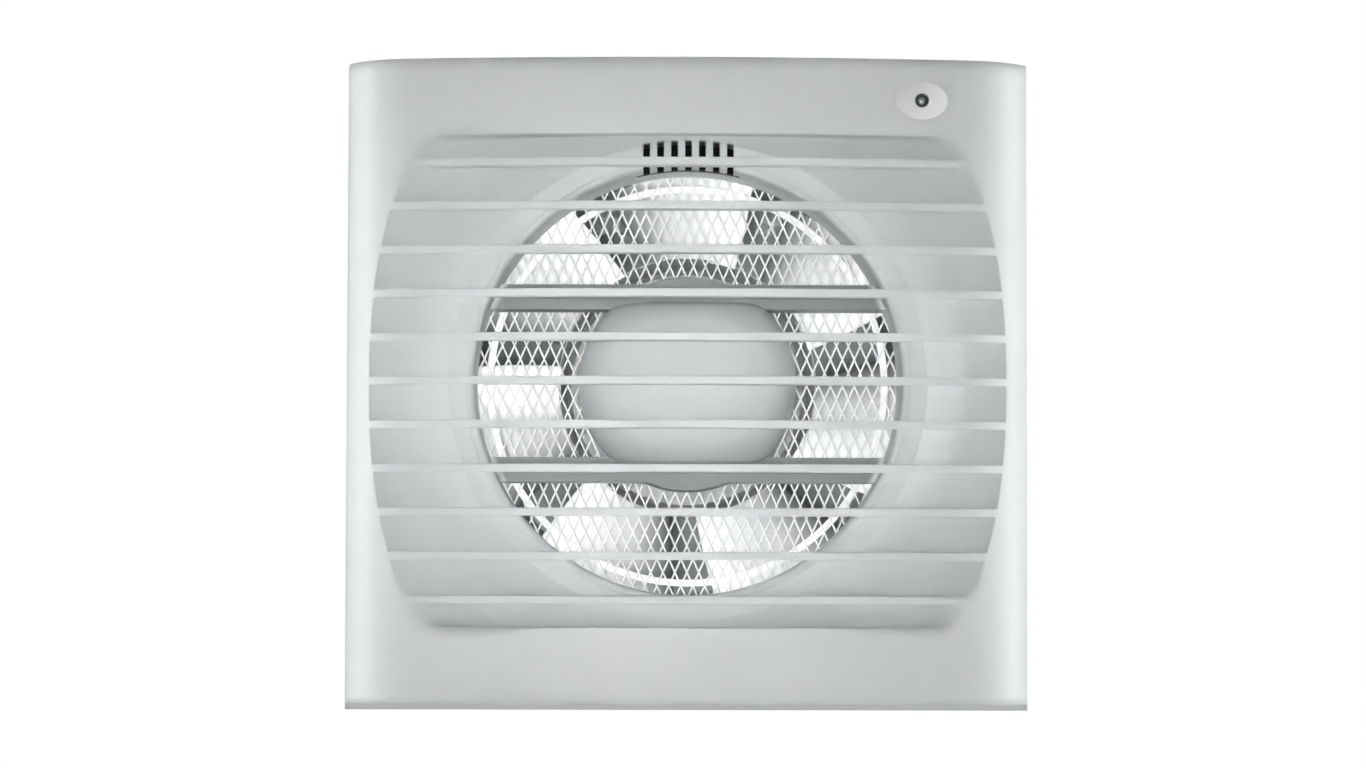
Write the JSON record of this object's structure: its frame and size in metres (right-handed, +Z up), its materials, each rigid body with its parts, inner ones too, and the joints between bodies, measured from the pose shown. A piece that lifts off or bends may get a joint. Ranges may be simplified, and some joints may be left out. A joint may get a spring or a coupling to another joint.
{
  "type": "bathroom extractor fan",
  "caption": "Wall-mounted axial extractor fan: louvred square front cover, insect net, domed motor pod, bladed impeller, round duct spigot and a gravity backdraught flap.",
  "frame": {"origin": "on the duct's axis in the wall plane, where the spigot leaves the back plate", "axes": "+X right as seen from the room, +Y along the duct into the wall, +Z up; the front faces -Y"},
  "size_m": [0.1498, 0.0845, 0.1414],
  "materials": {
    "moulded_white": "satin moulded",
    "casing_white": "moulded",
    "net_white": "extruded net",
    "impeller_white": "satin moulded",
    "flap_grey": "moulded",
    "lamp_clear": "clear cast",
    "circuit_board": "lacquered laminate",
    "zinc_steel": "zinc plated",
    "bright_steel": "ground",
    "bearing_bronze": "sintered",
    "electrical_steel": "stamped laminations",
    "copper_winding": "enamelled wire",
    "natural_nylon": "moulded",
    "lead_pvc": "extruded insulation",
    "grommet_rubber": "moulded",
    "vent_foam": "open-cell foam"
  },
  "bodies": {
    "housing": {"front_cover": "moulded_white", "indicator_lamp": "lamp_clear", "lamp_board": "circuit_board", "vent_strip": "vent_foam", "casing": "casing_white", "spigot": "casing_white", "motor_bracket": "casing_white", "bracket_screws": "zinc_steel", "motor_cover": "moulded_white", "front_bearing": "bearing_bronze", "rear_bearing": "bearing_bronze", "stator_core": "electrical_steel", "stator_coils": "copper_winding", "motor_end_plate": "casing_white", "motor_screws": "zinc_steel", "insect_net": "net_white", "terminal_block": "natural_nylon", "terminal_screws": "zinc_steel", "motor_leads": "lead_pvc", "cable_grommet": "grommet_rubber", "cord_clamp": "natural_nylon", "clamp_screws": "zinc_steel", "damper_ring": "casing_white", "damper_pin": "bright_steel", "thrust_washers": "natural_nylon"},
    "rotor": {"motor_shaft": "bright_steel", "rotor_core": "electrical_steel", "impeller": "impeller_white", "impeller_nut": "zinc_steel"},
    "flap": {"damper_flap": "flap_grey"}
  },
  "joints": [
    {"name": "impeller_spin", "type": "hinge", "parent": "housing", "child": "rotor", "pos_m": [0, 0, 0], "axis": [0, 1, 0], "continuous": true},
    {"name": "flap_swing", "type": "hinge", "parent": "housing", "child": "flap", "pos_m": [0, 0.0437, 0.0404], "axis": [1, 0, 0], "range_deg": [0, 50]}
  ]
}
